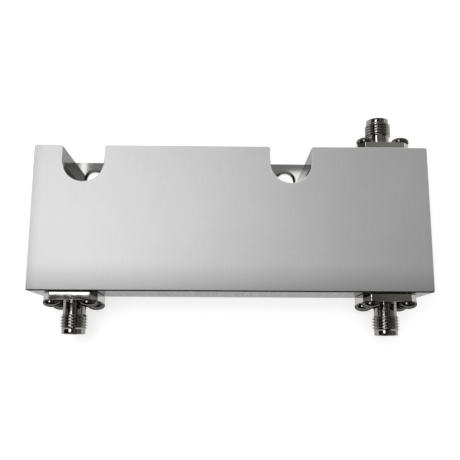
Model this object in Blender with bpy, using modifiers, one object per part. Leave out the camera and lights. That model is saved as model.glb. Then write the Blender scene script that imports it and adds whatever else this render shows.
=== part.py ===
"""Coaxial directional coupler with three threaded flange jacks.

The coupler lies on its rear cover with the front face up.  +X is to the right and +Y is
upwards when the front face is looked at, and +Z points out of the front face.  The origin
is the middle of the rear cover's outer face.  Lengths are in metres.
"""
import math

import bmesh
import bpy
from mathutils import Matrix
from mathutils import Vector

MM = 0.001
INCH = 25.4 * MM

# Body; its depth is made up of the cover, the jack's flange and a margin in front of it
BODY_WIDTH = 94.4 * MM
BODY_HEIGHT = 35.0 * MM
COVER_THICKNESS = 1.2 * MM
FRONT_MARGIN = 1.5 * MM
CORNER_RADIUS = 0.5 * MM
FRONT_EDGE = 0.35 * MM
BACK_EDGE = 0.12 * MM

# Air left between pieces that meet
SEAT_GAP = 0.1 * MM
FIT_GAP = 0.05 * MM

# Mounting notches in the upper edge, placed from the nearer end, and the holes in their webs
NOTCH_WIDTH = 9.9 * MM
NOTCH_DEPTH = 9.0 * MM
NOTCH_MOUTH_RADIUS = 0.5 * MM
LEFT_NOTCH_INSET = 11.8 * MM
RIGHT_NOTCH_INSET = 32.9 * MM
MOUNT_HOLE_DIAMETER = 4.2 * MM
MOUNT_HOLE_CHAMFER = 0.6 * MM
MOUNT_HOLE_INSET = 4.55 * MM
WEB_SEAT_MARGIN = 0.3 * MM

# Ports: distance of each axis from the nearer end
PORT_INSET = 9.8 * MM

# Cavity milled from the back
END_WALL = 5.2 * MM
PORT_WALL = 4.5 * MM
NOTCH_WALL = 2.1 * MM
BRANCH_WIDTH = 18.0 * MM
CAVITY_RADIUS = 1.5 * MM
BOARD_CLEARANCE = 0.15 * MM

# Stack of boards and strips, from the middle plane outwards
CENTRE_BOARD_THICKNESS = 0.4 * MM
LINE_THICKNESS = 0.15 * MM
DIELECTRIC_THICKNESS = 1.5 * MM
PLATE_CLEARANCE = 0.3 * MM

# Strip conductors
FEED_WIDTH = 2.0 * MM
LINE_WIDTH = 1.7 * MM
THROUGH_LINE_Y = -4.2 * MM
LOOSE_OFFSET = 2.2 * MM
TIGHT_OFFSET = 1.2 * MM
TIGHT_LENGTH = 22.0 * MM
COUPLED_END_INSET = 11.4 * MM
PIN_SLOT_CLEARANCE = 0.25 * MM

# Load on the isolated end
RESISTOR_LENGTH = 3.2 * MM
RESISTOR_WIDTH = 1.6 * MM
RESISTOR_HEIGHT = 0.6 * MM
RESISTOR_LAP = 0.7 * MM
LOAD_PAD_LENGTH = 3.6 * MM
LOAD_PAD_WIDTH = 4.0 * MM
LOAD_WINDOW_MARGIN = 0.3 * MM

# Jack: flange, neck, thread and mouth, measured out from the mounting face
FLANGE_WIDTH = 12.7 * MM
FLANGE_HOLE_INSET = 2.03 * MM
FLANGE_HOLE_DIAMETER = 2.5 * MM
FLANGE_THICKNESS = 1.85 * MM
FLANGE_CHAMFER = 1.65 * MM
JACK_LENGTH = 9.6 * MM
NECK_DIAMETER = 5.45 * MM
THREAD_DIAMETER = 6.35 * MM
THREADS_PER_INCH = 36
THREAD_PITCH = INCH / THREADS_PER_INCH
THREAD_ROOT_DEPTH = 0.38 * MM
THREAD_START = 4.95 * MM
THREAD_TURNS = 5
PILOT_DIAMETER = 5.6 * MM
MOUTH_DIAMETER = 4.6 * MM
MOUTH_DEPTH = 1.9 * MM
INSULATOR_BORE = 4.1 * MM

# Centre contact
CONTACT_DIAMETER = 1.27 * MM
SOCKET_BORE = 0.94 * MM
SOCKET_DEPTH = 2.9 * MM
SOCKET_RECESS = 0.1 * MM
SOCKET_SLOT_WIDTH = 0.16 * MM
SOCKET_SLOT_DEPTH = 2.2 * MM
PIN_REACH = 1.0 * MM
TAB_LENGTH = 1.8 * MM
TAB_WIDTH = 0.9 * MM

# Screws that hold the jacks
PAN_HEAD_DIAMETER = 4.2 * MM
PAN_HEAD_HEIGHT = 1.5 * MM
PAN_HEAD_SIDE = 0.45 * MM
PAN_SHANK_DIAMETER = 2.1 * MM
PAN_SHANK_LENGTH = 5.4 * MM

# Countersunk screws of the cover
SINK_HEAD_DIAMETER = 3.6 * MM
SINK_HEAD_HEIGHT = 0.8 * MM
SINK_SHANK_DIAMETER = 2.0 * MM
SINK_SHANK_LENGTH = 3.6 * MM
SINK_RECESS = 0.05 * MM

# Cheese head screws of the pressure plate
CLAMP_HEAD_DIAMETER = 3.6 * MM
CLAMP_HEAD_HEIGHT = 1.3 * MM
CLAMP_SHANK_DIAMETER = 2.0 * MM
CLAMP_THREAD_DEPTH = 3.0 * MM
CLAMP_INSET = 2.4 * MM
CLAMP_CLEARANCE = 0.15 * MM

# Cross recess in the heads
RECESS_SPAN = 2.1 * MM
RECESS_ARM = 0.5 * MM
RECESS_DEPTH = 0.7 * MM

HOLE_BOTTOM = 0.3 * MM
CUT_THROUGH = 1.0 * MM
MERGE_DISTANCE = 0.000001
FLAT_ANGLE = math.radians(0.1)
SMOOTH_ANGLE = math.radians(35)

ROUND_STEPS = 20
SCREW_STEPS = 10
BIG_ARC_STEPS = 8
SMALL_ARC_STEPS = 3
BIG_ARC_RADIUS = 2.0 * MM
DOME_STEPS = 2
RIM_SEGMENTS = 2

HOUSING_BACK = COVER_THICKNESS + SEAT_GAP
FLANGE_HOLE_SPACING = FLANGE_WIDTH - 2 * FLANGE_HOLE_INSET
BODY_DEPTH = HOUSING_BACK + FLANGE_WIDTH + FRONT_MARGIN
AXIS_Z = HOUSING_BACK + FLANGE_WIDTH / 2
PORT_X = BODY_WIDTH / 2 - PORT_INSET
LEFT_NOTCH_X = LEFT_NOTCH_INSET - BODY_WIDTH / 2
RIGHT_NOTCH_X = BODY_WIDTH / 2 - RIGHT_NOTCH_INSET
COUPLED_END_X = COUPLED_END_INSET - PORT_X
CENTRE_BOARD_LOW = AXIS_Z - CENTRE_BOARD_THICKNESS / 2
CENTRE_BOARD_HIGH = AXIS_Z + CENTRE_BOARD_THICKNESS / 2
THROUGH_HIGH = CENTRE_BOARD_LOW - SEAT_GAP
THROUGH_LOW = THROUGH_HIGH - LINE_THICKNESS
COUPLED_LOW = CENTRE_BOARD_HIGH + SEAT_GAP
COUPLED_HIGH = COUPLED_LOW + LINE_THICKNESS
LOWER_BOARD_HIGH = THROUGH_LOW - SEAT_GAP
LOWER_BOARD_LOW = LOWER_BOARD_HIGH - DIELECTRIC_THICKNESS
UPPER_BOARD_LOW = COUPLED_HIGH + SEAT_GAP
UPPER_BOARD_HIGH = UPPER_BOARD_LOW + DIELECTRIC_THICKNESS
CAVITY_FLOOR = UPPER_BOARD_HIGH + SEAT_GAP
PLATE_HIGH = LOWER_BOARD_LOW - SEAT_GAP
PLATE_LOW = COVER_THICKNESS + PLATE_CLEARANCE

UPPER_EDGE = BODY_HEIGHT / 2
LOWER_EDGE = -BODY_HEIGHT / 2
CAVITY_LEFT = -BODY_WIDTH / 2 + END_WALL
CAVITY_RIGHT = BODY_WIDTH / 2 - END_WALL
CAVITY_BOTTOM = LOWER_EDGE + PORT_WALL
CAVITY_TOP = UPPER_EDGE - NOTCH_DEPTH - NOTCH_WALL
BRANCH_LEFT = CAVITY_RIGHT - BRANCH_WIDTH
BRANCH_TOP = UPPER_EDGE - PORT_WALL
MOUNT_HOLE_Y = UPPER_EDGE - MOUNT_HOLE_INSET
INSULATOR_FRONT = JACK_LENGTH - MOUTH_DEPTH

# Each port: name, place of its axis on the body's edge, and which way it points along Y
PORTS = (
    ("input", PORT_X, -1),
    ("output", -PORT_X, -1),
    ("coupled", PORT_X, 1),
)


def clear_scene():
    """Remove every object of the scene."""
    for item in list(bpy.data.objects):
        bpy.data.objects.remove(item, do_unlink=True)


def new_collection(name):
    """Make a collection under the scene's own."""
    collection = bpy.data.collections.new(name)
    bpy.context.scene.collection.children.link(collection)
    return collection


def add_mesh(name, bm, collection):
    """Turn a bmesh into an object in the collection."""
    bmesh.ops.recalc_face_normals(bm, faces=bm.faces[:])
    mesh = bpy.data.meshes.new(name)
    bm.to_mesh(mesh)
    bm.free()
    item = bpy.data.objects.new(name, mesh)
    collection.objects.link(item)
    return item


def box(name, low, high, collection):
    """A block between two corners."""
    bm = bmesh.new()
    bmesh.ops.create_cube(bm, size=1.0)
    low = Vector(low)
    high = Vector(high)
    size = high - low
    bmesh.ops.scale(bm, vec=size, verts=bm.verts[:])
    bmesh.ops.translate(bm, vec=(low + high) / 2, verts=bm.verts[:])
    return add_mesh(name, bm, collection)


def round_corners(corners):
    """Points of a closed outline from its corners, each given as x, y, radius."""
    points = []
    count = len(corners)
    for index in range(count):
        here = Vector(corners[index][:2])
        radius = corners[index][2]
        before = (Vector(corners[index - 1][:2]) - here).normalized()
        after = (Vector(corners[(index + 1) % count][:2]) - here).normalized()
        if radius <= 0:
            points.append(here)
            continue
        half_angle = before.angle(after) / 2
        reach = radius / math.tan(half_angle)
        centre = here + (before + after).normalized() * (radius / math.sin(half_angle))
        start = here + before * reach - centre
        turn = start.angle_signed(here + after * reach - centre)
        steps = BIG_ARC_STEPS if radius > BIG_ARC_RADIUS else SMALL_ARC_STEPS
        for step in range(steps + 1):
            arm = start.copy()
            arm.rotate(Matrix.Rotation(-turn * step / steps, 2))
            points.append(centre + arm)
    cleaned = []
    for point in points:
        if not cleaned or (point - cleaned[-1]).length > MERGE_DISTANCE:
            cleaned.append(point)
    return cleaned


def flat_solid(name, points, low, high, collection):
    """A flat outline in X and Y as a solid between two heights."""
    curve = bpy.data.curves.new(name, "CURVE")
    curve.dimensions = "2D"
    curve.fill_mode = "BOTH"
    curve.extrude = (high - low) / 2
    spline = curve.splines.new("POLY")
    spline.points.add(len(points) - 1)
    for slot, point in zip(spline.points, points):
        slot.co = (point[0], point[1], 0, 1)
    spline.use_cyclic_u = True
    guide = bpy.data.objects.new(name + "_outline", curve)
    guide.location.z = (low + high) / 2
    collection.objects.link(guide)
    depsgraph = bpy.context.evaluated_depsgraph_get()
    mesh = bpy.data.meshes.new_from_object(guide.evaluated_get(depsgraph))
    mesh.name = name
    bm = bmesh.new()
    bm.from_mesh(mesh)
    bmesh.ops.remove_doubles(bm, verts=bm.verts[:], dist=MERGE_DISTANCE)
    bmesh.ops.dissolve_limit(bm, angle_limit=FLAT_ANGLE, verts=bm.verts[:], edges=bm.edges[:])
    bmesh.ops.recalc_face_normals(bm, faces=bm.faces[:])
    bm.to_mesh(mesh)
    bm.free()
    item = bpy.data.objects.new(name, mesh)
    collection.objects.link(item)
    bpy.data.objects.remove(guide, do_unlink=True)
    bpy.data.curves.remove(curve)
    item.matrix_world = Matrix.Translation((0, 0, (low + high) / 2))
    return item


def turned_solid(name, profile, steps, collection, closed=False):
    """A profile of radius and height turned about Z; it runs down its outer side."""
    mesh = bpy.data.meshes.new(name)
    points = [(radius, 0, height) for radius, height in profile]
    edges = [(index, index + 1) for index in range(len(points) - 1)]
    if closed:
        edges.append((len(points) - 1, 0))
    mesh.from_pydata(points, edges, [])
    item = bpy.data.objects.new(name, mesh)
    collection.objects.link(item)
    screw = item.modifiers.new("turn", "SCREW")
    screw.axis = "Z"
    screw.angle = 2 * math.pi
    screw.steps = steps
    screw.render_steps = steps
    screw.use_merge_vertices = True
    screw.merge_threshold = MERGE_DISTANCE
    screw.use_smooth_shade = False
    return item


def bake(item):
    """Apply an object's modifiers to its mesh."""
    depsgraph = bpy.context.evaluated_depsgraph_get()
    mesh = bpy.data.meshes.new_from_object(item.evaluated_get(depsgraph))
    item.modifiers.clear()
    item.data = mesh
    return item


def boolean(item, other, operation):
    """Cut an object with another one, or join another one to it."""
    modifier = item.modifiers.new(operation.lower(), "BOOLEAN")
    modifier.operation = operation
    modifier.object = other
    modifier.solver = "EXACT"
    other.hide_render = True
    other.display_type = "WIRE"


def copies(name, source, places, collection):
    """One object that holds a copy of the source's mesh at each place."""
    bm = bmesh.new()
    for place in places:
        mesh = source.data.copy()
        mesh.transform(place)
        bm.from_mesh(mesh)
        bpy.data.meshes.remove(mesh)
    mesh = bpy.data.meshes.new(name)
    bm.to_mesh(mesh)
    bm.free()
    item = bpy.data.objects.new(name, mesh)
    collection.objects.link(item)
    return item


def screw_row(name, source, places, collection):
    """Screws that share one mesh, each its own object, numbered from one."""
    items = []
    for number, place in enumerate(places, start=1):
        item = bpy.data.objects.new(f"{name}_{number}", source.data)
        item.matrix_world = place
        collection.objects.link(item)
        items.append(item)
    bpy.data.objects.remove(source, do_unlink=True)
    return items


def finish(item, material):
    """Give an object its material, and smooth shading where it is round."""
    item.data.materials.clear()
    item.data.materials.append(material)
    item.data.shade_smooth()
    item.data.set_sharp_from_angle(angle=SMOOTH_ANGLE)


def make_material(name, colour, metallic, roughness):
    """A plain Principled material."""
    material = bpy.data.materials.new(name)
    material.use_nodes = True
    shader = material.node_tree.nodes["Principled BSDF"]
    shader.inputs["Base Color"].default_value = (*colour, 1)
    shader.inputs["Metallic"].default_value = metallic
    shader.inputs["Roughness"].default_value = roughness
    return material


def notch_corners(centre_x):
    """Corners of one notch, from its right mouth to its left mouth."""
    half = NOTCH_WIDTH / 2
    floor = UPPER_EDGE - NOTCH_DEPTH
    return [
        (centre_x + half, UPPER_EDGE, NOTCH_MOUTH_RADIUS),
        (centre_x + half, floor, half),
        (centre_x - half, floor, half),
        (centre_x - half, UPPER_EDGE, NOTCH_MOUTH_RADIUS),
    ]


def body_outline(with_notches):
    """Outline of the housing, or of the plain cover."""
    half = BODY_WIDTH / 2
    corners = [
        (-half, UPPER_EDGE, CORNER_RADIUS),
        (-half, LOWER_EDGE, CORNER_RADIUS),
        (half, LOWER_EDGE, CORNER_RADIUS),
        (half, UPPER_EDGE, CORNER_RADIUS),
    ]
    if with_notches:
        corners += notch_corners(RIGHT_NOTCH_X)
        corners += notch_corners(LEFT_NOTCH_X)
    return round_corners(corners)


def cavity_outline(inset):
    """Outline of the cavity, drawn in by a clearance for what lies in it."""
    outer = max(CAVITY_RADIUS - inset, 0)
    return round_corners([
        (CAVITY_LEFT + inset, CAVITY_TOP - inset, outer),
        (CAVITY_LEFT + inset, CAVITY_BOTTOM + inset, outer),
        (CAVITY_RIGHT - inset, CAVITY_BOTTOM + inset, outer),
        (CAVITY_RIGHT - inset, BRANCH_TOP - inset, outer),
        (BRANCH_LEFT + inset, BRANCH_TOP - inset, outer),
        (BRANCH_LEFT + inset, CAVITY_TOP - inset, CAVITY_RADIUS + inset),
    ])


def strip_outline(path, width):
    """Outline of a strip of one width along a path, with mitred corners."""
    half = width / 2
    left = []
    right = []
    for index, point in enumerate(path):
        here = Vector(point)
        into = None
        out = None
        if index > 0:
            into = (here - Vector(path[index - 1])).normalized()
        if index < len(path) - 1:
            out = (Vector(path[index + 1]) - here).normalized()
        into = into or out
        out = out or into
        side = (into.orthogonal() + out.orthogonal()).normalized()
        side *= half / side.dot(into.orthogonal())
        left.append(here + side)
        right.append(here - side)
    return left + right[::-1]


def port_frame(x, direction):
    """Matrix that takes a jack's own frame, with +Z outwards, to its port."""
    turn = Matrix.Rotation(math.radians(-90 * direction), 4, "X")
    place = Matrix.Translation((x, direction * (BODY_HEIGHT / 2), AXIS_Z))
    return place @ turn


def flange_screw_places():
    """Places of the four screws in a jack's own frame."""
    half = FLANGE_HOLE_SPACING / 2
    return [(side_x * half, side_y * half) for side_x in (-1, 1) for side_y in (-1, 1)]


def cover_screw_places():
    """Places of the cover's screws, along the walls and clear of the ports."""
    side_x = BODY_WIDTH / 2 - END_WALL / 2
    low_y = LOWER_EDGE + PORT_WALL / 2
    high_y = UPPER_EDGE - PORT_WALL / 2
    left_of_notch = (LEFT_NOTCH_X - NOTCH_WIDTH / 2 - BODY_WIDTH / 2) / 2
    between = (LEFT_NOTCH_X + RIGHT_NOTCH_X) / 2
    step = (RIGHT_NOTCH_X - LEFT_NOTCH_X) / 5
    right_of_notch = (RIGHT_NOTCH_X + NOTCH_WIDTH / 2 + PORT_X - FLANGE_WIDTH / 2) / 2
    row = PORT_X * 2 / 3
    return [
        (-row, low_y),
        (0, low_y),
        (row, low_y),
        (-side_x, CAVITY_BOTTOM / 2),
        (side_x, CAVITY_BOTTOM / 2),
        (side_x, BRANCH_TOP / 2),
        (left_of_notch, high_y),
        (between - step, high_y),
        (between + step, high_y),
        (right_of_notch, high_y),
    ]


def clamp_screw_places():
    """Places of the pressure plate's screws, in two rows and one in the branch."""
    high_y = CAVITY_TOP - CLAMP_INSET
    low_y = CAVITY_BOTTOM + CLAMP_INSET
    outer = PORT_X - FEED_WIDTH - CLAMP_HEAD_DIAMETER
    columns = (-outer, 0, outer)
    places = [(x, y) for x in columns for y in (low_y, high_y)]
    places.append((BRANCH_LEFT + CLAMP_INSET, BRANCH_TOP - CLAMP_INSET))
    return places


def at_places(places, z):
    """Translations to places on a level."""
    return [Matrix.Translation((x, y, z)) for x, y in places]


def cross_recess(name, top, collection):
    """Cutter for the cross recess in a head whose face is at a height."""
    arm = RECESS_ARM / 2
    span = RECESS_SPAN / 2
    quarter = [(span, -arm), (span, arm), (arm, arm)]
    points = []
    for turn in range(4):
        for x, y in quarter:
            point = Vector((x, y))
            point.rotate(Matrix.Rotation(math.radians(90 * turn), 2))
            points.append(point)
    return flat_solid(name, points, top - RECESS_DEPTH, top + CUT_THROUGH, collection)


def screw_solid(name, profile, top, cutters):
    """A turned screw with a cross recess, to be copied to its places."""
    item = turned_solid(name, profile, SCREW_STEPS, cutters)
    boolean(item, cross_recess(name + "_recess", top, cutters), "DIFFERENCE")
    return bake(item)


def pan_screw(cutters):
    """Pan head screw with its seat at height zero and its shank below."""
    head = PAN_HEAD_DIAMETER / 2
    shank = PAN_SHANK_DIAMETER / 2
    dome_height = PAN_HEAD_HEIGHT - PAN_HEAD_SIDE
    profile = [(0, PAN_HEAD_HEIGHT)]
    for step in range(1, DOME_STEPS + 1):
        angle = math.radians(90) * (1 - step / DOME_STEPS)
        reach = math.cos(angle)
        profile.append((head * reach, PAN_HEAD_SIDE + dome_height * math.sin(angle)))
    profile += [(head, 0), (shank, 0), (shank, -PAN_SHANK_LENGTH), (0, -PAN_SHANK_LENGTH)]
    return screw_solid("pan_screw", profile, PAN_HEAD_HEIGHT, cutters)


def sink_screw(cutters):
    """Countersunk screw with the face of its head at height zero."""
    head = SINK_HEAD_DIAMETER / 2
    shank = SINK_SHANK_DIAMETER / 2
    low = -SINK_HEAD_HEIGHT - SINK_SHANK_LENGTH
    profile = [(0, 0), (head, 0), (shank, -SINK_HEAD_HEIGHT), (shank, low), (0, low)]
    return screw_solid("sink_screw", profile, 0, cutters)


def clamp_shank_length():
    """Shank of a clamp screw, from the seat of its head into the housing."""
    return CAVITY_FLOOR + CLAMP_THREAD_DEPTH - (PLATE_LOW + CLAMP_HEAD_HEIGHT)


def clamp_screw(cutters):
    """Cheese head screw with its seat at height zero and its shank below."""
    head = CLAMP_HEAD_DIAMETER / 2
    shank = CLAMP_SHANK_DIAMETER / 2
    top = CLAMP_HEAD_HEIGHT - SEAT_GAP
    low = -clamp_shank_length()
    profile = [(0, top), (head, top), (head, 0), (shank, 0), (shank, low), (0, low)]
    return screw_solid("clamp_screw", profile, top, cutters)


def hole_set(name, places, radius, low, high, cutters, steps=SCREW_STEPS):
    """Round cutters with one radius at several places, between two heights."""
    profile = [(0, high), (radius, high), (radius, low), (0, low)]
    source = turned_solid(name + "_one", profile, steps, cutters)
    bake(source)
    item = copies(name, source, at_places(places, 0), cutters)
    bpy.data.objects.remove(source, do_unlink=True)
    return item


def edge_weights(item, front, back):
    """Mark the rims of a flat solid for its bevel, by the height of their ends."""
    mesh = item.data
    layer = mesh.attributes.new("bevel_weight_edge", "FLOAT", "EDGE")
    heights = [vertex.co.z for vertex in mesh.vertices]
    high = max(heights)
    low = min(heights)
    for edge in mesh.edges:
        ends = [heights[vertex] for vertex in edge.vertices]
        if min(ends) > high - MERGE_DISTANCE:
            layer.data[edge.index].value = front
        if max(ends) < low + MERGE_DISTANCE:
            layer.data[edge.index].value = back
    return item


def bevel_rims(item, front, back):
    """Break the front and back rims of a flat solid."""
    wide = max(front, back)
    edge_weights(item, front / wide, back / wide)
    modifier = item.modifiers.new("rims", "BEVEL")
    modifier.limit_method = "WEIGHT"
    modifier.width = wide
    modifier.segments = RIM_SEGMENTS
    modifier.use_clamp_overlap = False


def port_cutters(cutters):
    """Cutters for the insulator bores and the tapped holes of the jacks."""
    wall = PORT_WALL + CUT_THROUGH
    tapped = PAN_SHANK_LENGTH - FLANGE_THICKNESS - SEAT_GAP + HOLE_BOTTOM
    items = []
    for port, x, direction in PORTS:
        bore = hole_set(port + "_bore", [(0, 0)], INSULATOR_BORE / 2, -wall, CUT_THROUGH, cutters,
                        ROUND_STEPS)
        holes = hole_set(port + "_holes", flange_screw_places(), PAN_SHANK_DIAMETER / 2 + FIT_GAP,
                         -tapped, CUT_THROUGH, cutters)
        for item in (bore, holes):
            item.matrix_world = port_frame(x, direction)
            items.append(item)
    return items


def make_housing(parts, cutters):
    """Milled block with the notches, the cavity and all its holes."""
    item = flat_solid("housing", body_outline(True), HOUSING_BACK, BODY_DEPTH, parts)
    bevel_rims(item, FRONT_EDGE, BACK_EDGE)
    cavity = flat_solid("cavity", cavity_outline(0), HOUSING_BACK - CUT_THROUGH, CAVITY_FLOOR,
                        cutters)
    boolean(item, cavity, "DIFFERENCE")
    for cutter in port_cutters(cutters):
        boolean(item, cutter, "DIFFERENCE")
    sink_tip = SINK_RECESS + SINK_HEAD_HEIGHT + SINK_SHANK_LENGTH
    cover_holes = hole_set("cover_tapped_holes", cover_screw_places(),
                           SINK_SHANK_DIAMETER / 2 + FIT_GAP, 0, sink_tip + HOLE_BOTTOM, cutters)
    boolean(item, cover_holes, "DIFFERENCE")
    clamp_holes = hole_set("clamp_tapped_holes", clamp_screw_places(),
                           CLAMP_SHANK_DIAMETER / 2 + FIT_GAP, CAVITY_FLOOR - CUT_THROUGH,
                           CAVITY_FLOOR + CLAMP_THREAD_DEPTH + HOLE_BOTTOM, cutters)
    boolean(item, clamp_holes, "DIFFERENCE")
    return item


def split_web_seats(item):
    """Divide the cover's front face, so that the seat beside each hole is its own face."""
    bm = bmesh.new()
    bm.from_mesh(item.data)
    top = max(vertex.co.z for vertex in bm.verts)
    half = NOTCH_WIDTH / 2 - WEB_SEAT_MARGIN
    cuts = [((0, UPPER_EDGE - NOTCH_DEPTH + NOTCH_WIDTH / 2, top), (0, 1, 0))]
    for centre_x in (LEFT_NOTCH_X, RIGHT_NOTCH_X):
        cuts.append(((centre_x - half, 0, top), (1, 0, 0)))
        cuts.append(((centre_x + half, 0, top), (1, 0, 0)))
    for point, across in cuts:
        faces = [face for face in bm.faces if face.calc_center_median().z > top - MERGE_DISTANCE]
        edges = list({edge for face in faces for edge in face.edges})
        bmesh.ops.bisect_plane(bm, geom=faces + edges, dist=MERGE_DISTANCE, plane_co=point,
                               plane_no=across)
    bm.to_mesh(item.data)
    bm.free()


def make_cover(parts, cutters):
    """Plain plate with two chamfered mounting holes and countersunk screw holes."""
    item = flat_solid("rear_cover", body_outline(False), 0, COVER_THICKNESS, parts)
    split_web_seats(item)
    bevel_rims(item, BACK_EDGE, BACK_EDGE)
    radius = MOUNT_HOLE_DIAMETER / 2
    wide = radius + MOUNT_HOLE_CHAMFER
    top = COVER_THICKNESS
    profile = [(0, top + CUT_THROUGH), (wide, top + CUT_THROUGH), (wide, top),
               (radius, top - MOUNT_HOLE_CHAMFER), (radius, -CUT_THROUGH), (0, -CUT_THROUGH)]
    mount_cutter = bake(turned_solid("mount_hole_one", profile, ROUND_STEPS, cutters))
    places = [(LEFT_NOTCH_X, MOUNT_HOLE_Y), (RIGHT_NOTCH_X, MOUNT_HOLE_Y)]
    boolean(item, copies("mount_holes", mount_cutter, at_places(places, 0), cutters),
            "DIFFERENCE")
    bpy.data.objects.remove(mount_cutter, do_unlink=True)
    head = SINK_HEAD_DIAMETER / 2 + FIT_GAP + SINK_RECESS
    shank = SINK_SHANK_DIAMETER / 2 + FIT_GAP + SINK_RECESS
    profile = [(0, top + CUT_THROUGH), (shank, top + CUT_THROUGH), (shank, SINK_HEAD_HEIGHT),
               (head, 0), (head, -CUT_THROUGH), (0, -CUT_THROUGH)]
    sink_cutter = bake(turned_solid("sink_hole_one", profile, SCREW_STEPS, cutters))
    boolean(item, copies("sink_holes", sink_cutter, at_places(cover_screw_places(), 0), cutters),
            "DIFFERENCE")
    bpy.data.objects.remove(sink_cutter, do_unlink=True)
    return item


def make_cover_screws(parts, cutters):
    """Screws of the cover, just below its outer face."""
    source = sink_screw(cutters)
    flip = Matrix.Rotation(math.pi, 4, "X")
    places = [move @ flip for move in at_places(cover_screw_places(), SINK_RECESS)]
    return screw_row("cover_screw", source, places, parts)


def make_clamp_screws(parts, cutters):
    """Screws that press the plate and the stack onto the cavity's floor."""
    source = clamp_screw(cutters)
    flip = Matrix.Rotation(math.pi, 4, "X")
    seat = PLATE_LOW + CLAMP_HEAD_HEIGHT
    places = [move @ flip for move in at_places(clamp_screw_places(), seat)]
    return screw_row("pressure_plate_screw", source, places, parts)


def pin_slots(name, width, depth, low, high, cutters):
    """Cutters for the slots that let the three pins into a board."""
    items = []
    for port, x, direction in PORTS:
        edge = direction * (BODY_HEIGHT / 2 - PORT_WALL)
        inner = edge - direction * depth
        outer = edge + direction * CUT_THROUGH
        items.append(box(name + "_" + port, (x - width / 2, min(inner, outer), low),
                         (x + width / 2, max(inner, outer), high), cutters))
    return items


def make_board(name, low, high, slot_width, slot_depth, parts, cutters):
    """One board of the stack, with its screw holes and pin slots."""
    item = flat_solid(name, cavity_outline(BOARD_CLEARANCE), low, high, parts)
    holes = hole_set(name + "_holes", clamp_screw_places(),
                     CLAMP_SHANK_DIAMETER / 2 + CLAMP_CLEARANCE, low - CUT_THROUGH,
                     high + CUT_THROUGH, cutters)
    boolean(item, holes, "DIFFERENCE")
    for cutter in pin_slots(name + "_slot", slot_width, slot_depth, low - CUT_THROUGH,
                            high + CUT_THROUGH, cutters):
        boolean(item, cutter, "DIFFERENCE")
    return item


def make_plate(parts, cutters):
    """Pressure plate with counterbored holes for its screws."""
    item = flat_solid("pressure_plate", cavity_outline(BOARD_CLEARANCE), PLATE_LOW, PLATE_HIGH,
                      parts)
    seat = PLATE_LOW + CLAMP_HEAD_HEIGHT + SEAT_GAP
    head = CLAMP_HEAD_DIAMETER / 2 + CLAMP_CLEARANCE
    shank = CLAMP_SHANK_DIAMETER / 2 + CLAMP_CLEARANCE
    low = PLATE_LOW - CUT_THROUGH
    high = PLATE_HIGH + CUT_THROUGH
    profile = [(0, high), (shank, high), (shank, seat), (head, seat), (head, low), (0, low)]
    cutter = bake(turned_solid("clamp_hole_one", profile, SCREW_STEPS, cutters))
    boolean(item, copies("clamp_holes", cutter, at_places(clamp_screw_places(), 0), cutters),
            "DIFFERENCE")
    bpy.data.objects.remove(cutter, do_unlink=True)
    return item


def line_end(direction):
    """Y of a strip's outer end, at the tip of the round pin."""
    return direction * (BODY_HEIGHT / 2 - PORT_WALL - PIN_REACH - FIT_GAP)


def make_through_line(parts):
    """Strip from the input port to the output port."""
    end = line_end(-1)
    path = [(PORT_X, end), (PORT_X, THROUGH_LINE_Y), (-PORT_X, THROUGH_LINE_Y), (-PORT_X, end)]
    return flat_solid("through_line", strip_outline(path, FEED_WIDTH), THROUGH_LOW, THROUGH_HIGH,
                      parts)


def coupled_line_y():
    """Y of the coupled strip beside the through strip, away from the tight section."""
    return THROUGH_LINE_Y + LOOSE_OFFSET


def make_coupled_line(parts):
    """Strip from the coupled port to the load, closest to the through strip at its middle."""
    loose = coupled_line_y()
    tight = THROUGH_LINE_Y + TIGHT_OFFSET
    half = TIGHT_LENGTH / 2
    path = [(PORT_X, line_end(1)), (PORT_X, loose), (half, loose), (half, tight),
            (-half, tight), (-half, loose), (COUPLED_END_X, loose)]
    return flat_solid("coupled_line", strip_outline(path, LINE_WIDTH), COUPLED_LOW, COUPLED_HIGH,
                      parts)


def load_places():
    """X of the resistor's right and left ends and of the grounded pad's two ends."""
    resistor_right = COUPLED_END_X + RESISTOR_LAP
    resistor_left = resistor_right - RESISTOR_LENGTH
    pad_right = resistor_left + RESISTOR_LAP
    pad_left = pad_right - LOAD_PAD_LENGTH
    return resistor_right, resistor_left, pad_right, pad_left


def make_load(parts, cutters, upper_board):
    """Resistor, grounded pad and ground block in a window of the upper board."""
    resistor_right, resistor_left, pad_right, pad_left = load_places()
    middle = coupled_line_y()
    on_strips = COUPLED_HIGH + SEAT_GAP
    half = RESISTOR_WIDTH / 2
    resistor = box("termination_resistor", (resistor_left, middle - half, on_strips),
                   (resistor_right, middle + half, on_strips + RESISTOR_HEIGHT), parts)
    half = LOAD_PAD_WIDTH / 2
    pad = box("termination_pad", (pad_left, middle - half, COUPLED_LOW),
              (pad_right, middle + half, COUPLED_HIGH), parts)
    block_right = resistor_left - SEAT_GAP
    block = box("termination_block", (pad_left, middle - half, on_strips),
                (block_right, middle + half, UPPER_BOARD_HIGH), parts)
    margin = LOAD_WINDOW_MARGIN
    window = box("load_window", (pad_left - margin, middle - half - margin,
                                 UPPER_BOARD_LOW - CUT_THROUGH),
                 (resistor_right + margin, middle + half + margin,
                  UPPER_BOARD_HIGH + CUT_THROUGH), cutters)
    boolean(upper_board, window, "DIFFERENCE")
    return resistor, pad, block


def flange_outline():
    """Square flange with cut corners."""
    half = FLANGE_WIDTH / 2
    short = half - FLANGE_CHAMFER
    quarter = [(half, -short), (half, short)]
    points = []
    for turn in range(4):
        for x, y in quarter:
            point = Vector((x, y))
            point.rotate(Matrix.Rotation(math.radians(90 * turn), 2))
            points.append(point)
    return points


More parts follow.
